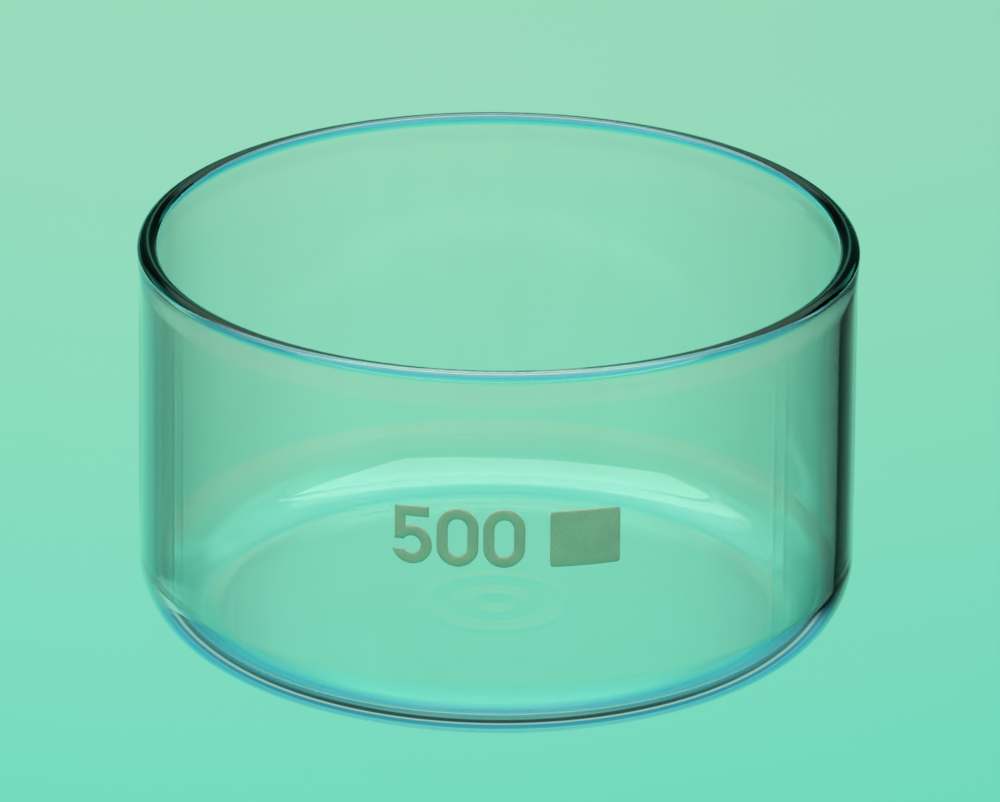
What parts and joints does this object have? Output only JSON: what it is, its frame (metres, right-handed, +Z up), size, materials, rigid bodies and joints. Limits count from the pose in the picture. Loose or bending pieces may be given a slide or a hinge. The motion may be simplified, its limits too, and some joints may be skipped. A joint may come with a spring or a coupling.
{
  "type": "crystallizing dish",
  "caption": "Low round glass laboratory dish with straight wall, rounded lower corner, flat base and enamel marks.",
  "frame": {"origin": "centre of the flat underside", "axes": "+Z up along the axis of revolution; the printed number and writing patch face -Y, +X to the right when they are read"},
  "size_m": [0.1156, 0.1156, 0.065],
  "materials": {
    "borosilicate_glass": "clear, fire-polished",
    "fired_enamel": "matt grey fired enamel"
  },
  "bodies": {
    "root": {"glass_dish": "borosilicate_glass", "capacity_digit_five": "fired_enamel", "capacity_digit_zero_1": "fired_enamel", "capacity_digit_zero_2": "fired_enamel", "writing_patch": "fired_enamel"}
  },
  "joints": []
}
